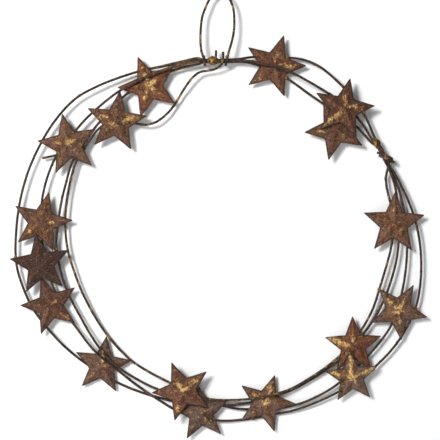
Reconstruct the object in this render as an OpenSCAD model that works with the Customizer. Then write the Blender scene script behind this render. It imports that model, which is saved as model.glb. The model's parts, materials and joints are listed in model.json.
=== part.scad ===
// Rusted wire wreath with stamped stars, hung from a wire loop.
//
// The origin is the hanging point: the underside of the loop's top bend, where a nail or hook bears.
// +Z is up and the front of the wreath looks along -Y.
// A place on the ring is [clock, out, depth]:
//   clock  degrees round the ring's centre from twelve o'clock, counter-clockwise seen from the front
//   out    millimetres outside the ring's own circle (negative is inside it)
//   depth  millimetres behind the ring's middle plane (negative is towards the front)

/* [Ring] */
// Diameter of the circle that the strands are laid out from
ring_d = 300; // [240:5:380]
// Diameter of the strand, tie and hanger wire
wire_d = 1.6; // [1.2:0.1:1.7]

/* [Hanger] */
// Height of the hanging point above the wire bundle
hanger_h = 50.5; // [42:0.5:70]
// Width of the hanging loop, between the middles of its wire
hanger_w = 25.6; // [22:0.2:34]
// How far the hanging point lies right of the ring's middle, to balance the heavier right side
hang_x = 1.3; // [0:0.1:3]
// Clear gap between the bundle and each eye of the hanger
eye_gap = 0.35; // [0.25:0.05:0.6]
// How far the ring leans back below the hanger, so that its weight hangs plumb, in degrees
hang_lean = 0.65; // [0:0.05:1.2]
// Slant of the right-hand eye across the bundle, in degrees
eye_slant = 12; // [0:1:25]

/* [Stars] */
// Thickness of the star sheet
sheet_t = 0.6; // [0.4:0.1:0.8]
// Height of a star's centre above its back edge
star_h = 5; // [3.5:0.25:6]
// Radius of the notches between two points, as a share of the tip radius
notch_share = 0.44; // [0.38:0.01:0.5]

/* [Ties and solder] */
// Turns of wire in the side tie
tie_turns = 1.6; // [0.6:1:2.6]
// Distance along the bundle from one turn of the side tie to the next
tie_pitch = 2.6; // [2:0.1:3.6]
// Slant of the side tie's turns across the bundle, in degrees
tie_slant = 45; // [0:5:50]
// How far the side tie's turns stand off the outside of the bundle
tie_slack = 0.9; // [0:0.1:1.5]
// Clear gap between wires that are bound side by side
bundle_gap = 0.06; // [0.04:0.02:0.12]
// Radius of the solder beads that hold the stars
bead_r = 1.6; // [1.4:0.1:2]

/* [Hidden] */
wire_r = wire_d / 2;
ring_r = ring_d / 2;
wire_sides = 8;
ring_step = 7;

// The knot: three strands lie in a triangle, and the hanger's eyes go round them.
knot_in = 15.5;
knot_r = ring_r - knot_in;
knot_z = -hanger_h;
centre_z = knot_z - knot_r;
slot3_r = (wire_d + bundle_gap) / sqrt(3);
bundle3_r = slot3_r + wire_r;
ends_x = 3.7;
knot_left = [0.3 - ends_x, 5, 10.8];
knot_right = [-9.5, -5, -0.3 - ends_x];

// Depth of a star's middle in front of its own back edge. A strand that crosses in front of a star,
// and a star that covers another, lie a share of it to the front.
front = -star_h;

// The side tie: four strands lie in a square, and the tie wire goes round them.
tie_clock = 296.5;
tie_in = 10.5;
tie_r = ring_r - tie_in;
slot4_r = (wire_d + bundle_gap) / sqrt(2);
bundle4_r = slot4_r + wire_r;
tie_xs = [-8, -4, 0, 4, 8];
tie_tail = 3.6;

// The hanger's eyes, round the bundle's straight run
eye_mid_r = bundle3_r + eye_gap + wire_r;
slant_mid_r = eye_mid_r / cos(eye_slant);
left_eye_x = -9.8;
right_eye_x = 6.5;

// Places on the ring: a point, a straight run across it, and the slots of the two bundles
function on_ring(place) = [
    -hang_x - (ring_r + place[1]) * sin(place[0]),
    place[2],
    centre_z + (ring_r + place[1]) * cos(place[0])
];
function straight_run(clock, mid_r, slot, xs) = [
    for (x = xs) let (turn = atan(x / mid_r))
        [clock + turn, (mid_r + slot[0]) / cos(turn) - ring_r, slot[1]]
];
function slot_at(slot_r, turn) = [slot_r * cos(turn), slot_r * sin(turn)];
LEFT_FRONT = slot_at(slot3_r, -60);
LEFT_BACK = slot_at(slot3_r, 60);
LEFT_LOW = slot_at(slot3_r, 180);
RIGHT_FRONT = slot_at(slot3_r, -90);
RIGHT_HIGH = slot_at(slot3_r, 30);
RIGHT_LOW = slot_at(slot3_r, 150);
TIE_OUT_FRONT = slot_at(slot4_r, -45);
TIE_OUT_BACK = slot_at(slot4_r, 45);
TIE_IN_FRONT = slot_at(slot4_r, -135);
TIE_IN_BACK = slot_at(slot4_r, 135);
function from_knot(slot) = straight_run(0, knot_r, slot, knot_left);
function to_knot(slot) = straight_run(360, knot_r, slot, knot_right);
function through_tie(slot) = straight_run(tie_clock, tie_r, slot, tie_xs);

// The strands, from the knot down the left, across the bottom and up the right
OUTER = concat([
    [0.6, -7.8, 0.2], [0.62, -10.4, 0.4], [0.7, -12.4, 0.6], [1, -13.9, 0.8], [1.5, -14.7, LEFT_BACK[1]]
], straight_run(0, knot_r, LEFT_BACK, [5.4, 8, 10.8]), [
    [6.3, -12.9, 0.6], [11, -13.6, 0.3], [18, -13, 1.4], [24, -10.5, 1.9], [31, -7.5, 1],
    [38, -3.5, 0], [45, 0.5, 0],
    [52, 1.5, 0], [60, 1.5, 0], [70, 1.5, 0], [80, 1.5, 0], [90, 2, 0], [97, 2.5, 0], [103, 1, 0],
    [110, -1.5, 0], [117, -5.5, 0], [124, -9, 0.5], [131, -12.5, 1.9], [138, -16, 1.9],
    [145, -18.5, 1.9], [152, -21, 1.9], [159, -23, 1.9], [167, -24, 1.9], [175, -25, 1.9],
    [183, -25, 1.9], [191, -25, 1.9], [198, -25, 1.9], [206, -24, 1.5], [213, -23.7, 1.2],
    [220, -22.6, 1], [228, -21, 0.3], [236, -20, 0], [246, -18, 0], [256, -16.5, 0],
    [266, -14.7, 0], [276, -13.5, 0], [284, -11.7, 0], [289, -11, -0.6]
], through_tie(TIE_IN_FRONT), [
    [303, -14, -0.3], [308, -15.3, 0], [315, -18, 0], [322, -20.7, 0], [329, -20.7, 1],
    [334, -19, 2.4], [341, -16.3, 2.5], [346, -15.2, 2.4], [350, -14.7, 2.1], [353.5, -15.2, 1.4]
], to_knot(RIGHT_LOW));
SECOND = concat(from_knot(LEFT_FRONT), [
    [6.3, -15, 0.24 * front], [12, -15.7, 0.4 * front], [18, -16.5, 0.7 * front],
    [24, -16.5, 0.76 * front], [29, -17, 0.68 * front],
    [33.5, -16.3, 0.58 * front],
    [38, -16.2, 0.26 * front], [42, -16, 0], [48, -15.5, 0], [57, -14.5, 0], [63, -13.2, 0],
    [70, -13.5, 0],
    [77, -14.5, 0], [84, -16.5, 0], [91, -18, 0], [98, -19, 0], [105, -21, 0], [112, -23, 0],
    [119, -24.2, 0], [124, -25.2, 0.26 * front], [129, -25.5, 0.58 * front], [134, -26, 0.74 * front],
    [139, -26.7, 0.76 * front],
    [144, -26.6, 0.44 * front], [148, -25.6, 0.16 * front], [153, -24.2, -0.1], [157, -22.8, 0],
    [161, -21, 0],
    [166, -18, 0], [172, -16, 0], [179, -14.3, 0], [183, -13.6, 0.9], [187, -13.2, 1.9],
    [192, -12.8, 1.9],
    [198, -11.8, 1.9], [204, -9.5, 1], [211, -7.2, 0], [218, -4.3, 0], [225, -0.5, 0],
    [232, 2.2, 0], [239, 5, 0], [246, 6.5, 0], [252, 7, 0], [258, 5.5, 0], [264, 3.5, 0],
    [270, 1.3, 0], [276, -1.3, 0], [282, -4.3, 0], [288, -7.3, -0.4]
], through_tie(TIE_OUT_FRONT), [
    [303, -9.6, -0.5], [307, -7.5, 0], [312, -4.8, 0], [318, -2.7, 0], [324, -0.7, 0.2],
    [330, 0.9, 0.9], [335, -0.3, 1.9], [340, -4, 2.5], [346, -7.8, 2.5], [350, -10.6, 2],
    [353.2, -13.1, 1]
], to_knot(RIGHT_HIGH));
THIRD = concat(from_knot(LEFT_LOW), [
    [6.3, -17.1, 0.5], [12, -17.8, 1.2], [18, -19, 2], [25, -20.3, 2], [30, -20.4, 1.9],
    [35, -21.4, 0.7],
    [42, -24, 0], [48, -25, 0], [55, -26, 0], [62, -26, 0], [69, -28, 0], [77, -29, 0],
    [85, -29.2, 0], [92, -28.2, 0], [99, -29.3, 0], [106, -30, 0], [113, -31, 0],
    [120, -31.6, 0.16 * front],
    [126, -31, 0.48 * front], [132, -30, 0.68 * front], [138, -29, 0.7 * front],
    [144, -28.8, 0.44 * front], [149, -28.9, 0.16 * front],
    [155, -28.8, 0], [162, -29, 0], [170, -28.8, 0], [177, -27, 0], [182, -25, 0],
    [186, -22.4, 0.8], [189, -20.8, 1.9], [197, -16.2, 1.9], [203, -13.5, 1.9], [209, -11.3, 0.8],
    [217, -9.5, 0], [224, -8.7, 0], [231, -7.8, 0], [238, -6, 0], [244, -4.8, 0], [250, -5.5, 0],
    [258, -6.8, 0], [266, -7.7, 0], [275, -8, 0], [283, -8.8, 0.3], [289, -9.4, 0.7]
], through_tie(TIE_OUT_BACK), [
    [303, -11.8, 0.6], [307, -11.4, 0.2], [312, -10.8, 0], [318, -11, 0], [324, -12.6, 0.16 * front],
    [329, -13.3, 0.46 * front], [335, -13.4, 0.84 * front], [341, -13.4, 0.94 * front],
    [346, -14.3, 0.84 * front],
    [350, -14, 0.56 * front], [353, -14.6, 0.34 * front]
], to_knot(RIGHT_FRONT));
INNER = concat([
    [-1.59, -9.3, -2.4], [-1.61, -11.3, -2.7], [-1.63, -13.3, -2.8], [-1.58, -15.6, -2.8],
    [-1.24, -18, -2.5], [-0.6, -19.9, -1.7], [0.33, -21.2, -0.9], [1.5, -22.2, -0.4],
    [3.4, -22.8, 0], [5.5, -23.1, 0], [7.2, -24.3, 0], [9.3, -27.3, 0], [12, -32.5, 0.5],
    [14.7, -37.8, 1.5],
    [17.3, -42.5, 2], [20.3, -46.2, 1.5], [24, -49, 0.6], [28.2, -50, 0], [31.4, -48.6, 0],
    [35, -43.5, 0], [38.5, -37, 0], [41.5, -31.8, 0], [44.7, -28.5, 0], [48, -27.5, 0],
    [53, -28.2, 0], [61, -28.4, 0], [67, -30.2, 0], [73, -32, 0], [79, -33.5, 0], [85.5, -35, 0],
    [93, -36.7, 0], [101, -39, 0], [110, -40.5, 0], [118, -41, 0.3], [126, -40.5, 1.2],
    [132, -39.8, 1.9], [138, -39, 1.9], [144, -38, 2], [150, -38, 0.6], [156, -37.7, 0],
    [162, -36.5, 0], [169, -33.5, 0], [175, -30.8, 0], [180, -29.5, 0], [184, -29.2, -0.1],
    [187, -28.9, 0.2 * front], [190, -28.6, 0.46 * front], [194, -28, 0.72 * front],
    [198, -27.2, 0.74 * front], [202, -26.3, 0.54 * front], [207, -25.4, 0.28 * front],
    [213, -25.4, -0.9], [219, -24.7, -0.6], [226, -23.6, 0], [233, -23.2, 0], [239, -22.7, 0],
    [246, -22.6, 0], [253, -23.2, 0], [260, -22.3, 0], [267, -20, 0], [273, -18.3, 0],
    [279, -17.4, 0], [284, -17.6, 0.3], [288, -17, 0.9], [290.6, -15, 1.3], [292, -13, 1.2]
], through_tie(TIE_IN_BACK));

// The stars: clock and out of the centre, depth of the back edge, spin (counter-clockwise from
// point up), tip radius, lean of the top and of the left side towards the front, and how far each
// point is bent back
STARS = [
    [24.2, -23.5, 0.8, 20.5, 24.3, 0, 0, [0, 0, 0.5, 0, 0]],
    [40.8, -33, -1, -7.5, 24, 0, 0, [0, -0.4, 0.5, 0, -0.8]],
    [57.4, -17, -1, 11.5, 24, 0, 0, [0, 0, 0, 0.5, 0]],
    [84.3, -17, -0.9, -14, 23.8, 0, 0, [0, 0, 0, 0, 0]],
    [97.7, -16, 0.66 * front, 8.5, 24, 0, 0, [0, 0.4, 0, 0, 0]],
    [111.3, -15, -1, 18, 23.2, 0, 0, [0, 0, 0, 0, 0]],
    [137.3, -21.6, 1, -8.5, 22.6, 0, 0, [0, 0, 0, 0, 0]],
    [166.8, -34, 1 * front, 21, 23.6, 0, 0, [0, 0, 0, 0, 0]],
    [174.4, -19.5, -0.9, 7, 22.5, 0, 0, [0, 0, 0, 0, 0]],
    [196.2, -21.9, 1, -18.5, 22.9, 0, 0, [0, 0, 0, 0, 0]],
    [232, -21, -0.9, 1.5, 22.6, 0, 0, [0, 0, 0, 0, 0]],
    [224.4, -6.6, 0.64 * front, 5.5, 21.2, 6, 0, [0, 0, 0, 0, 0]],
    [248.6, -4.5, -0.9, -30.5, 22.8, 0, 0, [0, 0, 0, 0, 0]],
    [275.3, -17.5, -0.9, -2, 24.5, 0, 0, [0, 0, 0, 0, 0]],
    [316.3, -14.3, 0.84 * front, -12.5, 24, -5, 0, [0, 0, 0, 0, 0]],
    [313.2, -29.1, -0.9, 23, 24, 0, 0, [0, 0, 0, 0, 0]],
    [342.1, -12.7, 1.3, -17.5, 24.6, 0, 0, [0, 0, 0, 0, 0]]
];
points = 5;

// Solder beads: the star's number, the strand that carries it, and how far along the strand the
// bead lies from the star's middle (positive is clockwise seen from the front)
BEADS = [
    [1, OUTER, 1], [1, THIRD, -8], [2, SECOND, -5.5], [2, INNER, 7], [3, SECOND, 9],
    [3, SECOND, -9], [3, THIRD, 5], [4, SECOND, 8], [4, SECOND, -8],
    [5, OUTER, 6.5], [5, THIRD, 10], [6, OUTER, 6.5], [6, SECOND, -13], [7, OUTER, 6],
    [7, OUTER, -12], [8, INNER, 10], [8, THIRD, 16], [9, SECOND, -8], [9, INNER, 2.5],
    [10, SECOND, 11], [10, OUTER, -7], [11, INNER, 9], [11, OUTER, -9], [12, THIRD, 8],
    [12, SECOND, 13], [12, SECOND, -14], [13, OUTER, -8], [13, SECOND, -6], [13, INNER, -11],
    [14, INNER, 8], [14, THIRD, 14], [15, SECOND, -8], [15, SECOND, 12], [16, OUTER, -2],
    [16, THIRD, 1], [17, SECOND, 7], [17, SECOND, -14], [17, OUTER, 12]
];

function star_name(i) = str("star_", i < 9 ? "0" : "", i + 1);

// Smooth path through hand-placed points: cubic pieces whose slopes come from the neighbours
function unit(v) = v / norm(v);
function slope(p, i) = let (a = max(i - 1, 0), b = min(i + 1, len(p) - 1))
    (p[b] - p[a]) / (norm(p[i] - p[a]) + norm(p[b] - p[i]));
function between(p, i, t) = let (
    run = norm(p[i + 1] - p[i]), m0 = slope(p, i) * run, m1 = slope(p, i + 1) * run
) (2*t*t*t - 3*t*t + 1) * p[i] + (t*t*t - 2*t*t + t) * m0
    + (3*t*t - 2*t*t*t) * p[i + 1] + (t*t*t - t*t) * m1;
function smooth(p, step) = concat([
    for (i = [0 : len(p) - 2]) let (n = max(1, ceil(norm(p[i + 1] - p[i]) / step)))
        for (k = [0 : n - 1]) between(p, i, k / n)
], [p[len(p) - 1]]);

// A round wire swept along a path, its rings carried without twist
function heading(path, i) = unit(path[min(i + 1, len(path) - 1)] - path[max(i - 1, 0)]);
function square_to(v, dir) = unit(v - (v * dir) * dir);
module wire(path, r = wire_r) {
    last = len(path) - 1;
    dirs = [for (i = [0 : last]) heading(path, i)];
    start = abs(dirs[0][1]) > 0.8 ? [0, 0, 1] : [0, 1, 0];
    sides = [
        for (i = 0, v = square_to(start, dirs[0]); i <= last;
            i = i + 1, v = i <= last ? square_to(v, dirs[i]) : v) v
    ];
    skin = [
        for (i = [0 : last]) for (k = [0 : wire_sides - 1])
            path[i] + r * (cos(360 * k / wire_sides) * sides[i]
                + sin(360 * k / wire_sides) * cross(dirs[i], sides[i]))
    ];
    walls = [
        for (i = [0 : last - 1]) for (k = [0 : wire_sides - 1])
            let (a = i * wire_sides + k, b = i * wire_sides + (k + 1) % wire_sides)
                each [[a, a + wire_sides, b], [b, a + wire_sides, b + wire_sides]]
    ];
    start_cap = [for (k = [0 : wire_sides - 1]) k];
    end_cap = [for (k = [wire_sides - 1 : -1 : 0]) last * wire_sides + k];
    polyhedron(skin, concat([start_cap, end_cap], walls));
}
// Everything but the hanger hangs from the bundle and leans back with it
module hung() {
    translate([0, 0, knot_z]) rotate([hang_lean, 0, 0]) translate([0, 0, -knot_z]) children();
}
module strand(route) {
    color("#4a3328") hung() wire(smooth([for (place = route) on_ring(place)], ring_step));
}
module strand_outer() strand(OUTER);
module strand_second() strand(SECOND);
module strand_third() strand(THIRD);
module strand_inner() strand(INNER);

// The hanger: a wire loop whose legs close into two eyes round the bundle
module hanger_loop() {
    half = hanger_w / 2;
    // Share of the half width, and share of the height down from the hanging point
    outline = [
        [(left_eye_x - hang_x) / half, 1], [-1.02, 0.93], [-1.06, 0.88], [-1.11, 0.8], [-1.14, 0.69],
        [-1.12, 0.58], [-1.09, 0.46], [-1.03, 0.36], [-0.93, 0.28], [-0.8, 0.21], [-0.64, 0.11],
        [-0.36, 0.03], [0, 0], [0.36, 0.03], [0.64, 0.11], [0.75, 0.18], [0.82, 0.26], [0.85, 0.35],
        [0.86, 0.46], [0.84, 0.56], [0.77, 0.67], [0.71, 0.73], [0.63, 0.8], [0.48, 0.91],
        [(right_eye_x - hang_x) / half, 1]
    ];
    path = [
        for (p = outline) let (forward = p[0] < 0 ? eye_mid_r : slant_mid_r)
            [p[0] * half, -forward * p[1], wire_r - p[1] * (hanger_h + wire_r)]
    ];
    color("#3f2c24") {
        wire(smooth(path, 4));
        translate([left_eye_x - hang_x, 0, knot_z]) eye(eye_mid_r);
        translate([right_eye_x - hang_x, 0, knot_z]) rotate([0, eye_slant, 0]) eye(slant_mid_r);
    }
}
module eye(mid_r) {
    rotate([0, 90, 0]) rotate_extrude($fn = 48) translate([mid_r, 0]) circle(wire_r, $fn = 24);
}

// The side tie: slanted turns of wire round the four strands, with a cut end left standing
module side_tie() {
    coil_r = bundle4_r + bundle_gap + wire_r + tie_slack;
    steps = 24;
    start_turn = 125;
    along = [-cos(tie_clock), 0, -sin(tie_clock)];
    outward = [-sin(tie_clock), 0, cos(tie_clock)];
    middle = on_ring([tie_clock, -tie_in, 0]) + tie_slack * outward;
    function turn_point(s) = let (turn = start_turn - 360 * s) middle
        + coil_r * (cos(turn) * outward - sin(turn) * [0, 1, 0])
        + ((0.3 - s) * tie_pitch - coil_r * cos(turn) * tan(tie_slant)) * along;
    coil = [for (k = [0 : tie_turns * steps]) turn_point(k / steps)];
    tail = coil[0] + tie_tail * unit(coil[0] - coil[1]);
    color("#3f2c24") hung() wire(concat([tail], coil));
}

// The short loose end behind the third star
module wire_tail() {
    home = on_ring([STARS[2][0], STARS[2][1], bead_r + 0.3]);
    color("#3f2c24") hung() wire([home + [-20, 0, -10.2], home + [-12.5, 0, -8.6], home + [-5, 0, -7]]);
}

// Solder: one blob on each bundle, and the beads behind the stars
module blob(size) {
    scale(size) sphere(1, $fn = 8);
}
module knot_solder() {
    color("#a5793c") translate([-5 - hang_x, 0, knot_z]) blob([2.9, bundle3_r + 1, bundle3_r + 1.3]);
}
module tie_solder() {
    color("#a5793c") hung() translate(on_ring([tie_clock + 5, -tie_in, 0]))
        rotate([0, -tie_clock, 0]) blob([4.5, 2.4, 2.8]);
}
// How far a star's sheet stands in front of its back edge at an offset from its centre
function rise(s, across, up) = let (
    half_point = 180 / points,
    turn = atan2(-across, up) - s[3] + 360 * 2 + half_point,
    from_tip = abs(turn % (2 * half_point) - half_point),
    rim = s[4] * notch_share * sin(half_point)
        / (notch_share * sin(half_point - from_tip) + sin(from_tip))
) star_h * max(0, 1 - norm([across, up]) / rim);
module star_solder() {
    for (bead = BEADS) {
        home = STARS[bead[0] - 1];
        clock = home[0] - asin(bead[2] / (ring_r + home[1]));
        out = lookup(clock, [for (place = bead[1]) [place[0], place[1]]]);
        depth = lookup(clock, [for (place = bead[1]) [place[0], place[2]]]);
        offset = on_ring([clock, out, 0]) - on_ring([home[0], home[1], 0]);
        sheet = home[2] - rise(home, offset[0], offset[2]);
        color("#a5793c") hung() translate(on_ring([clock, out, (depth + sheet) / 2]))
            blob([bead_r, abs(depth - sheet) / 2 + bead_r, bead_r]);
    }
}

// A stamped star: thin sheet folded to five ridges and five valleys round a raised centre
module star(s) {
    tip_r = s[4];
    notch_r = tip_r * notch_share;
    bend = s[7];
    face = concat([[0, -star_h, 0]], [
        for (k = [0 : points - 1]) let (tip = 360 / points * k, notch = tip + 180 / points)
            each [
                [-tip_r * sin(tip), bend[k] - sheet_t, tip_r * cos(tip)],
                [-notch_r * sin(notch), -sheet_t, notch_r * cos(notch)]
            ]
    ]);
    n = len(face);
    rim = 2 * points;
    skin = concat(face, [for (p = face) p + [0, sheet_t, 0]]);
    front = [for (k = [1 : rim]) [0, 1 + k % rim, k]];
    back = [for (k = [1 : rim]) [n, n + k, n + 1 + k % rim]];
    edge = [
        for (k = [1 : rim]) let (m = 1 + k % rim)
            each [[k, m, n + k], [m, n + m, n + k]]
    ];
    color("#7a4a30") hung() translate(on_ring(s)) rotate([s[5], 0, s[6]]) rotate([0, -s[3], 0])
        polyhedron(skin, concat(front, back, edge));
}

hanger_loop();
strand_outer();
strand_second();
strand_third();
strand_inner();
side_tie();
wire_tail();
knot_solder();
tie_solder();
star_solder();
for (i = [0 : len(STARS) - 1]) star(STARS[i]);
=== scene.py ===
# %% [markdown]
# # A rusted wire wreath with stamped stars
# Four loose strands of iron wire are bound at a knot and at a side tie. Seventeen stars, stamped
# from thin sheet, are soldered to the strands, and a wire loop hangs the wreath on a nail.
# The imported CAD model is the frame. It says where every strand and star is, so each piece below
# takes its place from it and only adds the finish: round pitted wire, soft folds and rust.

# %% Load the frame
import json
import math

import bmesh
import bpy
import numpy as np
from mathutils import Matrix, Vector, noise


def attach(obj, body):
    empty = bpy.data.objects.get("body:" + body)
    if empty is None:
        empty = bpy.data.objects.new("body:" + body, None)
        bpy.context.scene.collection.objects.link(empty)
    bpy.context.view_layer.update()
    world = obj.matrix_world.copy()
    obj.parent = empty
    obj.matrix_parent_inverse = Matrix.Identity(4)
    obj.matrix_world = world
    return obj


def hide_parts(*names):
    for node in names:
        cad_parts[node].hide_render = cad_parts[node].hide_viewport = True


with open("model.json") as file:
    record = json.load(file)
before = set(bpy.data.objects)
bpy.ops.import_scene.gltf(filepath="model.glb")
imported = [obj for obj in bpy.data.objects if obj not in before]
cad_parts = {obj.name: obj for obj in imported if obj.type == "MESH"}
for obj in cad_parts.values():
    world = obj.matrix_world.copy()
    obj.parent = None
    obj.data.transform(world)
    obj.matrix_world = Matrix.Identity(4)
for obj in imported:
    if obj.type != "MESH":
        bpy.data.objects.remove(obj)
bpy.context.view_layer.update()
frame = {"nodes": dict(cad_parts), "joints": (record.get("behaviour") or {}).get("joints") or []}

MM = 0.001
hinge = Vector(frame["joints"][0]["pos_m"])

# %% [markdown]
# ## Reading a node
# Every CAD node arrives as loose triangles. Joining the points that share a place gives back the
# swept wire as rings of points, and the star as its few corners. `welded` returns those points
# and which of them are neighbours.

# %% Points and neighbours of a CAD node
def welded(node):
    mesh = frame["nodes"][node].data
    raw = np.array([v.co for v in mesh.vertices])
    micrometres = np.round(raw * 1e6).astype(np.int64)
    first, where = np.unique(micrometres, axis=0, return_index=True, return_inverse=True)[1:]
    where = where.ravel()
    near = [set() for _ in first]
    for edge in mesh.edges:
        a, b = (int(where[i]) for i in edge.vertices)
        if a != b:
            near[a].add(b)
            near[b].add(a)
    return raw[first], near


star_nodes = sorted(n for n in frame["nodes"] if n.startswith("star_") and n[-1].isdigit())
print(len(star_nodes), "stars, each with", len(welded(star_nodes[0])[0]), "corners")

# %% [markdown]
# ## The line of a wire
# A swept wire is a row of rings. Starting from any point and walking outwards, the last points
# reached lie on one end. Walking back from that whole end, each step takes exactly one ring, and
# the middle of a ring is a point of the wire's line.

# %% From rings to a line
def layers(near, start, allowed=None):
    seen, rows = set(start), [set(start)]
    while rows[-1]:
        rows.append({n for p in rows[-1] for n in near[p]
                     if n not in seen and (allowed is None or n in allowed)})
        seen |= rows[-1]
    return rows[:-1]


def wire_line(node):
    points, near = welded(node)
    one_end = layers(near, [0])[-1]
    other_end = layers(near, [min(one_end)])[-1]
    rings = layers(near, other_end)
    return np.array([points[sorted(r)].mean(0) for r in rings])


strand_lines = {n: wire_line(n) for n in
                ("strand_outer", "strand_second", "strand_third", "strand_inner", "side_tie")}
for name, line in strand_lines.items():
    print(name, "is", round(np.linalg.norm(np.diff(line, axis=0), axis=1).sum() * 1000), "mm long")

# %% [markdown]
# ## The hanger's line
# The loop is one wire. Its rings are walked from the top bend down both legs. Each leg then closes
# round the bundle as an eye, loose enough to swing. A bent eye never closes on itself exactly:
# it winds a little sideways, so its cut end lies beside the leg instead of inside it.

# %% From the top bend down to the eyes
WIRE_R = 0.8 * MM
EYE_TOP, EYE_SIZE = 5 * MM, 6 * MM
LOOSER = 0.3 * MM
NEAR = 0.3 * MM
EYE_TURN = 320
WIND = -1.1 * MM
hanger_points, hanger_near = welded("hanger_loop")
above_eyes = {i for i, p in enumerate(hanger_points) if p[2] > hinge.z + EYE_TOP}
top_ring = [i for i in above_eyes if abs(hanger_points[i][0]) < 0.05 * MM]
leg_rows = layers(hanger_near, top_ring, above_eyes)


def leg(side):
    rows = [[i for i in row if side * hanger_points[i][0] > 0] for row in leg_rows[1:]]
    return [hanger_points[r].mean(0) for r in rows if len(r) == 8]


def eye(side):
    pts = hanger_points[(hanger_points[:, 0] * side > 0)
                        & (np.abs(hanger_points[:, 2] - hinge.z) < EYE_SIZE)]
    reach = pts[:, 1].max() - WIRE_R + LOOSER
    middle = pts[pts[:, 1] > pts[:, 1].max() - NEAR][:, 0].mean()
    low = pts[pts[:, 2] < pts[:, 2].min() + NEAR][:, 0].mean()
    line = []
    for a in np.radians(np.arange(20, EYE_TURN, 15)):
        x = middle - (middle - low) * math.sin(a) + WIND * (a / math.tau - 0.15)
        line.append(np.array((x, -reach * math.cos(a), hinge.z - reach * math.sin(a))))
    return line


def eased(line, times=3):
    line = np.array(line)
    for _ in range(times):
        line[1:-1] = (line[:-2] + 2 * line[1:-1] + line[2:]) / 4
    return line


loop = eased(leg(-1)[::-1] + [hanger_points[top_ring].mean(0)] + leg(1))
hanger_line = np.vstack([eye(-1)[::-1], loop, eye(1)])
print("the hanger's wire is", len(hanger_line), "points long")

# %% [markdown]
# ## Making wire
# Soft iron wire is drawn round and then rusts: the skin lifts in small scales and pits. A curve
# with a round bevel would stay too perfect, so the wire is a mesh. Rings are set along a smooth
# line and each point moves in or out by a little noise, with a few raised scales. The ends are
# cut square, as snips leave them. Beside the knot the brazing metal ran along three strands, so
# `run_of_metal` thickens them there, and the finish reads the same amount as "brassy".

# %% Smooth line and swept mesh
STEP = 0.8 * MM
SIDES = 12
RUSTED_R = 0.94 * MM
RUN_FROM, RUN_AT, RUN_WIDE, RUN_THICK = 12, 30, 15, 0.3


def smooth_line(points):
    ahead = np.vstack([points[:1] * 2 - points[1:2], points, points[-1:] * 2 - points[-2:-1]])
    out = []
    for a, b, c, d in zip(ahead, ahead[1:], ahead[2:], ahead[3:]):
        for t in np.arange(0, 1, 1 / max(1, round(np.linalg.norm(c - b) / STEP))):
            out.append(0.5 * (2 * b + (c - a) * t + (2 * a - 5 * b + 4 * c - d) * t * t
                              + (3 * b - a - 3 * c + d) * t ** 3))
    return np.array(out + [points[-1]])


def rough(point, size, seed):
    return noise.noise(Vector(point) / size + Vector((seed * 7.3, seed * 3.1, seed * 5.7)))


def scaly(point, seed):
    lifted = max(0.0, rough(point, 2.6 * MM, seed + 9) - 0.42)
    return 1 + 0.05 * rough(point, 1.3 * MM, seed) + 0.9 * lifted


def run_of_metal(point):
    past = np.linalg.norm(point - np.array(hinge)) / MM
    beside = point[0] < -RUN_FROM * MM
    return math.exp(-((past - RUN_AT) / RUN_WIDE) ** 2) if beside else 0.0


def wire_mesh(name, points, seed, brazed=0):
    line = smooth_line(points)
    heads = np.gradient(line, axis=0)
    heads /= np.linalg.norm(heads, axis=1)[:, None]
    side = np.cross(heads[0], (0.31, 0.85, 0.42))
    rings = []
    for p, head in zip(line, heads):
        side = side - head * side.dot(head)
        side /= np.linalg.norm(side)
        across = np.cross(head, side)
        ring = [side * math.cos(a) + across * math.sin(a)
                for a in np.arange(SIDES) * math.tau / SIDES]
        coat = RUSTED_R * (1 + RUN_THICK * brazed * run_of_metal(p))
        rings.append([p + d * coat * scaly(p + d * RUSTED_R, seed) for d in ring])
    cut_end = lambda ring, p, head: [p + (q - p) * 0.8 + head * 0.15 * MM for q in ring]
    rings = [cut_end(rings[0], line[0], -heads[0]), *rings,
             cut_end(rings[-1], line[-1], heads[-1])]
    verts = [q for ring in rings for q in ring]
    faces = [[i * SIDES + k, i * SIDES + (k + 1) % SIDES,
              (i + 1) * SIDES + (k + 1) % SIDES, (i + 1) * SIDES + k]
             for i in range(len(rings) - 1) for k in range(SIDES)]
    faces += [list(range(SIDES))[::-1], [len(verts) - SIDES + k for k in range(SIDES)]]
    piece = new_piece(name, verts, faces)
    store(piece, "brassy", [brazed * run_of_metal(v) for v in verts])
    return piece


def store(piece, name, amounts):
    layer = piece.data.attributes.new(name, "FLOAT", "POINT")
    layer.data.foreach_set("value", np.array(amounts, dtype=np.float32))


def new_piece(name, verts, faces):
    mesh = bpy.data.meshes.new(name)
    mesh.from_pydata([tuple(v) for v in verts], [], faces)
    mesh.validate()
    mesh.shade_smooth()
    piece = bpy.data.objects.new(name, mesh)
    bpy.context.scene.collection.objects.link(piece)
    return piece


wires = {
    "outer_wire": wire_mesh("outer_wire", strand_lines["strand_outer"], 1, brazed=1),
    "second_wire": wire_mesh("second_wire", strand_lines["strand_second"], 2, brazed=1),
    "third_wire": wire_mesh("third_wire", strand_lines["strand_third"], 3, brazed=0.5),
    "inner_wire": wire_mesh("inner_wire", strand_lines["strand_inner"], 4),
    "tie_wire": wire_mesh("tie_wire", strand_lines["side_tie"], 5),
    "hanger_wire": wire_mesh("hanger_wire", hanger_line, 6),
}
print({n: len(w.data.vertices) for n, w in wires.items()})

# %% [markdown]
# ## The loose end
# A short end of wire sticks out behind the third star. It is straight but for one slight bend, so
# the three rings of the CAD node are enough to draw it again as pitted wire.

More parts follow.
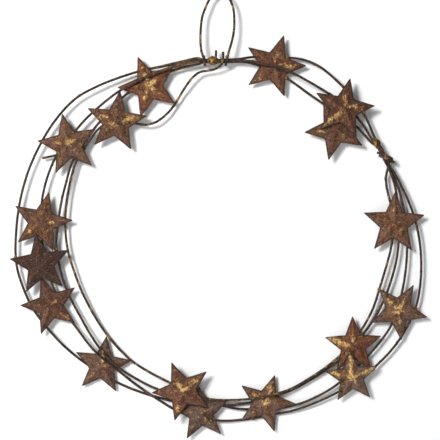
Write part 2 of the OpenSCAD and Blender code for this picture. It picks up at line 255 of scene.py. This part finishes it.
# %% Loose end behind the third star
tail_points = welded("wire_tail")[0]
tail_points = tail_points[np.argsort(tail_points[:, 0])]
tail_line = np.array([tail_points[k:k + 8].mean(0) for k in (0, 8, 16)])
wires["loose_end_wire"] = wire_mesh("loose_end_wire", tail_line, 7)
print("the loose end is", round(np.linalg.norm(tail_line[-1] - tail_line[0]) * 1000), "mm long")

# %% [markdown]
# ## Reading a star
# The CAD star has 22 corners: a centre, five tips and five notches, each once on the front and
# once on the back. Distance from the middle sorts them: the centre is nearest and the tips are
# farthest. The front one of each pair lies further along the star's own outward direction.

# %% Corners of a star, in order round its rim
def star_corners(node):
    points = welded(node)[0]
    middle = points.mean(0)
    order = np.argsort(np.linalg.norm(points - middle, axis=1))
    centre, notches, tips = points[order[:2]], points[order[2:12]], points[order[12:]]
    out = centre[0] - centre[1]
    out *= np.sign(out.dot(centre.mean(0) - tips.mean(0)))
    sheet = np.linalg.norm(out)
    out /= sheet
    up = np.cross(out, (1.0, 0.0, 0.0))
    up /= np.linalg.norm(up)
    right = np.cross(up, out)
    front = lambda pts: pts[np.argsort(pts @ out)]
    apex = front(centre)[1]

    def turn(p):
        return math.atan2((p - apex).dot(right), (p - apex).dot(up)) % math.tau

    def facing(pts):
        pairs = sorted(pts, key=turn)
        if turn(pairs[-1]) - turn(pairs[-2]) > 0.2:
            pairs = pairs[-1:] + pairs[:-1]
        return [front(np.array(pairs[k:k + 2]))[1] for k in range(0, 10, 2)]

    rim = sorted(facing(tips) + facing(notches), key=turn)
    return apex, rim, out, sheet, up, right


for node in star_nodes[:2]:
    apex, rim, _, sheet = star_corners(node)[:4]
    print(node, "tip radius", round(max(np.linalg.norm(p - apex) for p in rim) * 1000, 1),
          "mm, sheet", round(sheet * 1000, 2), "mm")

# %% [markdown]
# ## Stamping the stars
# Each star is thin sheet pressed over a punch: five rounded ridges run from a dome in the middle
# out to the tips, with soft valleys to the notches between them. The metal is old and thin, so it
# carries small dents, the tips are blunt, and the cut edge wanders a little. The star is built as
# rings of points, from the middle to the rim. Its front skin follows the front of the CAD star
# and dips between the ridges, and its back skin is one sheet thickness behind.

# %% One stamped star
SPOKES = 14
RINGS = 24
DENT, PIT = 0.5 * MM, 0.16 * MM
FOLD, SAG, CAP = 0.8 * MM, 0.18 * MM, 0.3 * MM


def rim_points(rim):
    edge = []
    for k in range(10):
        a, b = Vector(rim[k]), Vector(rim[(k + 1) % 10])
        edge += [a.lerp(b, j / SPOKES) for j in range(SPOKES)]
    return edge


def stamped_star(name, corners, seed):
    apex, out, sheet = Vector(corners[0]), Vector(corners[2]), corners[3]
    rim = [Vector(p) for p in corners[1]]
    far = max((p - apex).length for p in rim)
    tip_is_first = (rim[0] - apex).length > (rim[1] - apex).length
    edge = rim_points(rim)
    rows = []
    for r in range(1, RINGS + 1):
        share = (r / RINGS) ** 0.9
        row = []
        for k, target in enumerate(edge):
            corner, along = divmod(k, SPOKES)
            at_tip = (corner % 2 == 0) == tip_is_first
            ridge = 1 - along / SPOKES if at_tip else along / SPOKES
            p = apex.lerp(target, share)
            dent = DENT * rough(p, 8 * MM, seed) + PIT * rough(p, 2.6 * MM, seed + 1)
            fold = FOLD * (1 - ridge) * math.sin(math.pi * share ** 1.5)
            sag = -SAG * math.exp(-((1 - ridge) / 0.08) ** 2) * min(1, share * 3)
            cap = -CAP * math.exp(-(share / 0.16) ** 2)
            row.append(p + out * (dent + sag + cap - fold))
        rows.append(row)
    wander = [1 + 0.012 * rough(p, 2.2 * MM, seed + 2) for p in edge]
    for k, p in enumerate(rows[-1]):
        blunt = 0.975 if (p - apex).length > far * 0.985 else 1
        rows[-1][k] = apex + (p - apex) * wander[k] * blunt
    back = -out * sheet
    front_verts = [apex - out * CAP] + [p for row in rows for p in row]
    verts = front_verts + [p + back for p in front_verts]
    per, half = len(edge), len(front_verts)

    def at(r, k, side=0):
        return side * half + 1 + r * per + k % per

    faces = []
    for k in range(per):
        faces.append([0, at(0, k + 1), at(0, k)])
        faces.append([half, at(0, k, 1), at(0, k + 1, 1)])
        for r in range(RINGS - 1):
            faces.append([at(r, k), at(r, k + 1), at(r + 1, k + 1), at(r + 1, k)])
            faces.append([at(r + 1, k, 1), at(r + 1, k + 1, 1), at(r, k + 1, 1), at(r, k, 1)])
        faces.append([at(RINGS - 1, k), at(RINGS - 1, k + 1),
                      at(RINGS - 1, k + 1, 1), at(RINGS - 1, k, 1)])
    return new_piece(name, verts, faces)


stars = {}
for number, node in enumerate(star_nodes, 1):
    piece = stamped_star("stamped_" + node, star_corners(node), number)
    stars[node] = piece
print(len(stars), "stamped stars,", len(piece.data.vertices), "points each")

# %% [markdown]
# ## Solder lumps
# The stars, the knot and the side tie are held with brazing metal. It melts, wets the wires and
# freezes in uneven lumps, never in balls. Each lump takes the size and lean of its CAD solid and
# is then pushed in and out by noise of two sizes. At the knot the metal spread along the strands,
# so that lump is drawn wider than its solid and a little to the right of it.

# %% Uneven lumps where the CAD has beads
def lump(bm, points, seed, unevenness=0.22):
    middle = points.mean(0)
    axes = np.linalg.svd(points - middle, full_matrices=False)[2]
    reach = np.abs((points - middle) @ axes.T).max(0)
    grown = bmesh.ops.create_icosphere(bm, subdivisions=3, radius=1)
    for v in grown["verts"]:
        at = middle + (np.array(v.co) * reach) @ axes
        swell = 1 + unevenness * rough(at, 1.9 * MM, seed) + 0.08 * rough(at, 0.7 * MM, seed)
        v.co = middle + (at - middle) * min(swell, 1.12)


def islands(node):
    points, near = welded(node)
    left = set(range(len(points)))
    while left:
        group = set().union(*layers(near, [min(left)]))
        left -= group
        yield points[sorted(group)]


def lumps(name, node, seed, unevenness=0.22, fuller=(1.0, 1.0, 1.0), aside=0.0):
    bm = bmesh.new()
    for number, points in enumerate(islands(node)):
        points = points.mean(0) + (points - points.mean(0)) * fuller + (aside, 0, 0)
        lump(bm, points, seed + number, unevenness)
    mesh = bpy.data.meshes.new(name)
    bm.to_mesh(mesh)
    bm.free()
    mesh.shade_smooth()
    piece = bpy.data.objects.new(name, mesh)
    bpy.context.scene.collection.objects.link(piece)
    return piece


brazing = {
    "knot_solder": lumps("knot_lump", "knot_solder", 20, 0.35, (1.6, 1.2, 1.2), 1.3 * MM),
    "tie_solder": lumps("tie_lump", "tie_solder", 40, 0.35, (1.1, 1.1, 1.1)),
    "star_solder": lumps("star_lumps", "star_solder", 60),
}
print("lumps under the stars:", len(list(islands("star_solder"))))

# %% [markdown]
# ## Where each star has rusted
# Rust is never even. Some stars are red-brown, some greyer, and each keeps remains of an old
# golden coat in its own places. The table gives each star how ruddy, ashen and dark it is, then
# its golden places: clock direction in degrees, distance as a share of the tip, and size in mm.

# %% Worn places
WORN = {
    "star_01": (0.7, 0.1, 0.0, [(350, 0.3, 5), (90, 0.15, 5), (200, 0.3, 4), (20, 0.6, 3)]),
    "star_02": (0.3, 0.2, 0.15, [(275, 0.4, 6), (75, 0.45, 6), (200, 0.2, 3)]),
    "star_03": (0.3, 0.4, 0.1, [(30, 0.12, 4), (290, 0.4, 4), (150, 0.4, 3)]),
    "star_04": (0.4, 0.3, 0.2, [(100, 0.3, 4), (250, 0.5, 4)]),
    "star_05": (0.6, 0.1, 1.0, [(60, 0.2, 2)]),
    "star_06": (0.5, 0.2, 0.5, [(285, 0.8, 5), (140, 0.6, 5), (30, 0.2, 3)]),
    "star_07": (0.3, 0.6, 0.2, [(0, 0.2, 4), (110, 0.3, 3), (230, 0.4, 3)]),
    "star_08": (0.8, 0.3, 0.3, [(0, 0.1, 5), (200, 0.5, 5), (60, 0.5, 5), (300, 0.4, 4)]),
    "star_09": (0.2, 0.9, 0.4, [(30, 0.3, 4), (160, 0.4, 4), (270, 0.4, 3)]),
    "star_10": (0.4, 0.8, 0.1, [(20, 0.5, 6), (325, 0.5, 5), (0, 0.1, 4)]),
    "star_11": (0.9, 0.1, 0.2, [(282, 0.65, 8), (275, 0.4, 6), (20, 0.3, 4)]),
    "star_12": (0.3, 0.8, 0.1, [(3, 0.55, 7), (285, 0.65, 7), (75, 0.6, 7), (0, 0.1, 5)]),
    "star_13": (0.3, 0.7, 0.1, [(0, 0.1, 6), (330, 0.5, 4), (200, 0.4, 4)]),
    "star_14": (0.5, 0.4, 0.1, [(120, 0.3, 4), (350, 0.4, 3)]),
    "star_15": (0.9, 0.1, 0.7, [(215, 0.55, 7), (200, 0.3, 5), (20, 0.3, 5), (75, 0.45, 5)]),
    "star_16": (0.4, 0.3, 0.3, [(150, 0.4, 4), (270, 0.5, 4)]),
    "star_17": (0.7, 0.2, 0.3, [(50, 0.35, 6), (220, 0.55, 5), (100, 0.5, 4), (330, 0.5, 3)]),
}
print("golden places on the stars:", sum(len(w[3]) for w in WORN.values()))

# %% [markdown]
# ## Rust stored on the points
# The finish needs to know where on the star it is. `from_rim` measures how far each point is from
# the cut edge, and `from_ridges` how far it is from the nearest ridge and how far out along that
# arm. Most gold is left where the old coat was thick and hardly any on the darkest stars; along the
# ridges the gold is brightened and a light band is laid on every crest, both a painted highlight.
# Those add up to one stored amount. The distance from the cut edge gives a dark band of painted
# shade along the rim. The two arm measures are stretched, so that a streak is 1.3 mm across the
# arm and 8 mm along it.

# %% Measures of each point of a star
# The first width is that of the painted shade along the cut rim; the second is that of the ridge
# band, where the painted ridge highlight lies.
RIM_SHADE_WIDE = 1.6 * MM
RIDGE_WIDE = 2.2 * MM
STREAK_ACROSS, STREAK_ALONG = 1.3, 8
# The gold kept, its painted brightening along the ridges, the painted highlight on every ridge
# crest, and what dark stars lose.
KEPT, GOLD_AND_HIGHLIGHT_ON_RIDGE, RIDGE_GLINT, LOST_IN_DARK = 0.11, 0.13, 0.025, 0.05
DARKEST = 0.85


def from_rim(flat, corners):
    nearest = np.full(len(flat), 1.0)
    for a, b in zip(corners, np.roll(corners, -1, axis=0)):
        t = np.clip(((flat - a) @ (b - a)) / (b - a).dot(b - a), 0, 1)
        nearest = np.minimum(nearest, np.linalg.norm(flat - a - np.outer(t, b - a), axis=1))
    return nearest


def from_ridges(flat, tips):
    crest, reach = np.full(len(flat), 1.0), np.zeros(len(flat))
    for tip in tips:
        t = np.clip(flat @ tip / tip.dot(tip), 0, 1)
        apart = np.linalg.norm(flat - np.outer(t, tip), axis=1)
        reach = np.where(apart < crest, t * np.linalg.norm(tip), reach)
        crest = np.minimum(crest, apart)
    return crest, reach


for node, piece in stars.items():
    apex, rim, out, _, up, right = star_corners(node)
    ruddy, ashen, dark, golden = WORN[node]
    far = max(np.linalg.norm(p - apex) for p in rim)
    points = np.array([v.co for v in piece.data.vertices])
    gold = np.zeros(len(points))
    for clock, share, size in golden:
        way = up * math.cos(math.radians(clock)) + right * math.sin(math.radians(clock))
        apart = np.linalg.norm(points - apex - far * share * way, axis=1)
        gold += np.exp(-(apart / (size * MM)) ** 2)
    flat = points - apex
    flat -= np.outer(flat @ out, out)
    corners = np.array([p - apex - out * (p - apex).dot(out) for p in rim])
    crest, reach = from_ridges(flat, [c for c in corners if np.linalg.norm(c) > far * 0.8])
    ridge = np.clip(1.2 - crest / RIDGE_WIDE, 0, 1)
    # Old gold plus a painted highlight along the ridges, less on the dark stars.
    store(piece, "worn_gold_and_ridge_highlight", np.clip(gold, 0, 1) * (KEPT + GOLD_AND_HIGHLIGHT_ON_RIDGE * ridge)
          + RIDGE_GLINT * ridge - LOST_IN_DARK * dark)
    # Painted shade: a dark band along the cut rim, stored for the finish.
    store(piece, "painted_rim_shade", np.clip(1 - from_rim(flat, corners) / RIM_SHADE_WIDE, 0, 1))
    store(piece, "across_arm", crest / STREAK_ACROSS)
    store(piece, "along_arm", reach / STREAK_ALONG)
    for name, level in (("ruddy", ruddy), ("ashen", ashen), ("dark", DARKEST * dark)):
        store(piece, name, [level] * len(points))
print("stored on each star:", [a.name for a in piece.data.attributes if a.data_type == "FLOAT"])

# %% [markdown]
# ## Finishes
# Every finish is made of nodes. One function adds a node and its links and hands back an output.
# Sockets are called by name, or by number where two share a name. `grain` is noise whose features
# are as wide as asked, in real millimetres. `painted` lays coats over a ground, each where its
# amount says. Colours are written as hex values and turned to linear light once.

# %% Tools for finishes
def linear(code):
    parts = [int(code[i:i + 2], 16) / 255 for i in (1, 3, 5)]
    return [p / 12.92 if p <= 0.04045 else ((p + 0.055) / 1.055) ** 2.4 for p in parts] + [1.0]


def add(tree, kind, inputs, give=None, **settings):
    made = tree.nodes.new("ShaderNode" + kind)
    for name, value in settings.items():
        setattr(made, name, value)
    in_use = [s for s in made.inputs if s.enabled]
    for name, value in inputs.items():
        socket = in_use[name] if isinstance(name, int) else [s for s in in_use if s.name == name][0]
        if isinstance(value, bpy.types.NodeSocket):
            tree.links.new(value, socket)
        else:
            socket.default_value = value
    return made.outputs[give] if give else [s for s in made.outputs if s.enabled][0]


def finish(name):
    material = bpy.data.materials.new(name)
    material.use_nodes = True
    tree = material.node_tree
    return material, tree, tree.nodes["Principled BSDF"]


def grain(tree, size_mm, detail, low, high, roughness=0.6, most=1.0, place=None):
    place = place or add(tree, "TexCoord", {}, "Object")
    specks = add(tree, "TexNoise", {"Vector": place, "Scale": 1 / (size_mm * MM),
                                    "Detail": detail, "Roughness": roughness})
    return add(tree, "MapRange", {"Value": specks, "From Min": low, "From Max": high,
                                  "To Max": most})


def painted(tree, ground, coats):
    for amount, tone in coats:
        ground = add(tree, "Mix", {"Factor": amount, "A": ground, "B": linear(tone)},
                     data_type="RGBA")
    return ground


def skin(tree, shader, colour, roughness, height, depth_mm, metallic):
    bump = add(tree, "Bump", {"Height": height, "Distance": depth_mm * MM, "Strength": 1.0})
    for name, value in (("Base Color", colour), ("Roughness", roughness), ("Normal", bump)):
        tree.links.new(value, shader.inputs[name])
    shader.inputs["Metallic"].default_value = metallic


print("mid brown rust in linear light:", [round(v, 3) for v in linear("#5b3720")[:3]])

# %% [markdown]
# ### Rusted iron wire
# Drawn iron wire rusts nearly black, with brown scale in patches a few millimetres long and small
# specks of orange rust. Some strands keep specks of old gold paint. Rust is no metal to the eye:
# it is rough and dull, so only a trace of the metal's shine is left. Its pits are a tenth of a
# millimetre or so wide, too fine to show here, and are drawn 0.6 mm wide.

# %% Rusted iron wire
def rusted_wire(name, gold_from):
    material, tree, shader = finish(name)
    coated = add(tree, "Attribute", {}, "Fac", attribute_name="brassy")
    coated = add(tree, "Math", {0: coated, 1: grain(tree, 2.4, 5, 0.42, 0.6)},
                 operation="MULTIPLY")
    bright = add(tree, "Math", {0: coated, 1: grain(tree, 1.6, 4, 0.54, 0.62)},
                 operation="MULTIPLY")
    colour = painted(tree, linear("#1d1410"), [
        (grain(tree, 5, 3, 0.42, 0.6), "#3d2a1f"),
        (grain(tree, 1.6, 4, 0.56, 0.66), "#6a4226"),
        (grain(tree, 3.2, 4, gold_from, gold_from + 0.06), "#8f6c3c"),
        (coated, "#5f4122"),
        (bright, "#ac8648")])
    roughness = add(tree, "MapRange", {"Value": grain(tree, 2, 3, 0.3, 0.7), "To Min": 0.62,
                                       "To Max": 0.88})
    skin(tree, shader, colour, roughness, grain(tree, 0.6, 3, 0.3, 0.7), 0.12, 0.15)
    return material


wire_finish = rusted_wire("Rusted iron wire", 0.64)
golden_wire_finish = rusted_wire("Rusted iron wire with old gold paint", 0.55)
print("nodes in the wire finish:", len(wire_finish.node_tree.nodes))

# %% [markdown]
# ### Rusted sheet iron
# The stars were stamped, painted gold and left to rust. Brown rust is the ground. Ruddy and ashen
# stars lean to orange-red or to grey-violet, in patches just under a centimetre wide, with faint
# streaks along the arms. What is left of the gold paint shows in ragged flecks with a brown halo,
# dense in the table's golden places; along the ridges the flecks are denser and brighter as a
# painted highlight. The cut edge is painted nearly black, a painted shade along the rim. Rust grit
# is really 0.1 to 0.3 mm wide, too fine to show at this distance, so it is drawn 1.1 to 1.3 mm
# wide.

# %% Rusted sheet iron
sheet_finish, tree, shader = finish("Rusted sheet iron with gold flecks")
where = {n: add(tree, "Attribute", {}, "Fac", attribute_name=n)
         for n in ("ruddy", "ashen", "dark", "worn_gold_and_ridge_highlight", "painted_rim_shade", "across_arm", "along_arm")}
patches = {"ruddy": grain(tree, 7, 5, 0.25, 0.5), "ashen": grain(tree, 8, 5, 0.36, 0.56),
           # The painted rim shade is broken up by noise, as the colour patches are.
           "painted_rim_shade": grain(tree, 3, 3, 0.1, 0.5, most=0.9)}
for name, patchy in patches.items():
    where[name] = add(tree, "Math", {0: where[name], 1: patchy}, operation="MULTIPLY")
on_arm = add(tree, "CombineXYZ", {"X": where["across_arm"], "Y": where["along_arm"]})
# The ridge share of this amount is a painted highlight; it feeds the gold flecks below.
rubbed = add(tree, "Math", {0: where["worn_gold_and_ridge_highlight"], 1: grain(tree, 3.2, 8, 0.0, 1.0, 0.75)},
             operation="ADD")
halo = add(tree, "MapRange", {"Value": rubbed, "From Min": 0.52, "From Max": 0.7, "To Max": 0.8})
core = add(tree, "MapRange", {"Value": rubbed, "From Min": 0.6, "From Max": 0.7})
gold_here = add(tree, "Math", {0: core, 1: grain(tree, 1.4, 4, 0.36, 0.54)},
                operation="MULTIPLY")
colour = painted(tree, linear("#2d190e"), [
    (grain(tree, 5, 5, 0.38, 0.62), "#5b3720"),
    (where["ruddy"], "#753215"),
    (where["ashen"], "#71615a"),
    (grain(tree, 1, 3, 0.48, 0.66, 0.5, 0.45, on_arm), "#8c6442"),
    (grain(tree, 4, 6, 0.5, 0.66, most=0.6), "#8d6038"),
    (grain(tree, 2.6, 6, 0.52, 0.64, most=0.75), "#1f130e"),
    (where["dark"], "#291510"),
    (halo, "#80542b"),
    (gold_here, "#e6bd78"),
    (grain(tree, 1.3, 3, 0.52, 0.62, most=0.5), "#1f130e"),
    (grain(tree, 1.1, 3, 0.58, 0.66, most=0.4), "#b8946a"),
    # painted shade: a dark band along the cut rim
    (where["painted_rim_shade"], "#1c110d")])
roughness = add(tree, "MapRange", {"Value": gold_here, "To Min": 0.8, "To Max": 0.5})
height = add(tree, "Math", {0: gold_here, 1: 0.5, 2: grain(tree, 1.3, 5, 0.3, 0.7)},
             operation="MULTIPLY_ADD")
skin(tree, shader, colour, roughness, height, 0.45, 0.1)
print("nodes in the sheet finish:", len(tree.nodes))

# %% [markdown]
# ### Brazing metal
# Brass-coloured solder, dulled in air. It is the only bare metal on the wreath, so it alone
# glints, but it is brown in its pits. The pits are drawn 0.8 mm wide, coarser than real ones.

# %% Brazing metal, and a finish for every piece
solder_finish, tree, shader = finish("Tarnished brass solder")
colour = painted(tree, linear("#37250f"), [(grain(tree, 2.2, 6, 0.42, 0.6), "#9c763a")])
roughness = add(tree, "MapRange", {"Value": grain(tree, 1, 3, 0.3, 0.7), "To Min": 0.4,
                                   "To Max": 0.65})
skin(tree, shader, colour, roughness, grain(tree, 0.8, 3, 0.3, 0.7), 0.15, 0.55)
for name, piece in [*wires.items(), *stars.items(), *brazing.items()]:
    kind = (sheet_finish if name in stars else solder_finish if name in brazing
            else golden_wire_finish if name in ("inner_wire", "tie_wire", "hanger_wire")
            else wire_finish)
    piece.data.materials.append(kind)
print("finishes:", [m.name for m in bpy.data.materials])

# %% [markdown]
# ## Tying the pieces to the frame
# The hanger stays on its nail and everything else swings below it, so each piece rides on its
# body. Each also stands in for its CAD node, which is hidden.

# %% Which piece stands for which node
node_of = {"outer_wire": "strand_outer", "second_wire": "strand_second",
           "third_wire": "strand_third", "inner_wire": "strand_inner", "tie_wire": "side_tie",
           "hanger_wire": "hanger_loop", "loose_end_wire": "wire_tail"}
for name, piece in [*wires.items(), *stars.items(), *brazing.items()]:
    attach(piece, "hanger" if name == "hanger_wire" else "wreath")
    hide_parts(node_of.get(name, name))

# %% [markdown]
# ## Setting
# The wreath hangs close in front of a pale board, which catches its soft shadows, above a pale
# floor. Both are seen only from their front, so that the back of the wreath can be looked at too.

# %% Pale board and floor
BOARD_Y = 7.2 * MM
BOARD_HALF, BOARD_TOP = 0.4, 0.015
FLOOR_HALF, FLOOR_Z = 1.0, -0.42
board_finish, tree, shader = finish("Pale matt board")
shader.inputs["Base Color"].default_value = linear("#f4f4f4")
shader.inputs["Roughness"].default_value = 0.9
behind = add(tree, "NewGeometry", {}, "Backfacing")
one_sided = add(tree, "MixShader", {0: behind, 1: shader.outputs[0],
                                    2: add(tree, "BsdfTransparent", {})})
tree.links.new(one_sided, tree.nodes["Material Output"].inputs["Surface"])
board = new_piece("pale_board", [(x, BOARD_Y, z) for x, z in (
    (-BOARD_HALF, FLOOR_Z), (BOARD_HALF, FLOOR_Z), (BOARD_HALF, BOARD_TOP),
    (-BOARD_HALF, BOARD_TOP))], [[0, 1, 2, 3]])
floor = new_piece("pale_floor", [(x * FLOOR_HALF, y * FLOOR_HALF, FLOOR_Z) for x, y in (
    (-1, -1), (1, -1), (1, 1), (-1, 1))], [[0, 1, 2, 3]])
for piece in (board, floor):
    piece.data.materials.append(board_finish)

# %% [markdown]
# ## Light
# One wide soft lamp stands high on the left and throws the shadows to the right and a little
# down. A weak one on the right keeps the dark wires readable, one behind lights the back of the
# stars, and a pale sky fills the rest.

# %% Lamps and sky
CENTRE = Vector((0, 0, -0.17))


def lamp(name, place, size, power):
    data = bpy.data.lights.new(name, "AREA")
    data.shape, data.size, data.energy = "SQUARE", size, power
    made = bpy.data.objects.new(name, data)
    bpy.context.scene.collection.objects.link(made)
    made.location = place
    made.rotation_euler = (CENTRE - Vector(place)).to_track_quat("-Z", "Y").to_euler()


lamp("key_lamp", (-0.72, -1.25, 0.32), 0.42, 26)
lamp("fill_lamp", (0.9, -1.3, -0.1), 0.9, 0.6)
lamp("back_lamp", (0.5, 1.3, 0.4), 0.7, 14)
sky = bpy.data.worlds.new("sky")
sky.use_nodes = True
sky.node_tree.nodes["Background"].inputs["Color"].default_value = linear("#ffffff")
sky.node_tree.nodes["Background"].inputs["Strength"].default_value = 0.12
bpy.context.scene.world = sky
bpy.context.scene.view_settings.view_transform = "Standard"

# %% [markdown]
# ## Camera
# The wreath is seen straight from the front with a long lens, so the ring stays round.

# %% Camera
SEEN_WIDE = 0.330
camera = bpy.data.objects.new("camera", bpy.data.cameras.new("camera"))
camera.data.lens = 100
camera.location = (0.2 * MM, -SEEN_WIDE / camera.data.sensor_width * camera.data.lens, CENTRE.z)
camera.rotation_euler = (math.pi / 2, 0, 0)
bpy.context.scene.collection.objects.link(camera)
bpy.context.scene.camera = camera
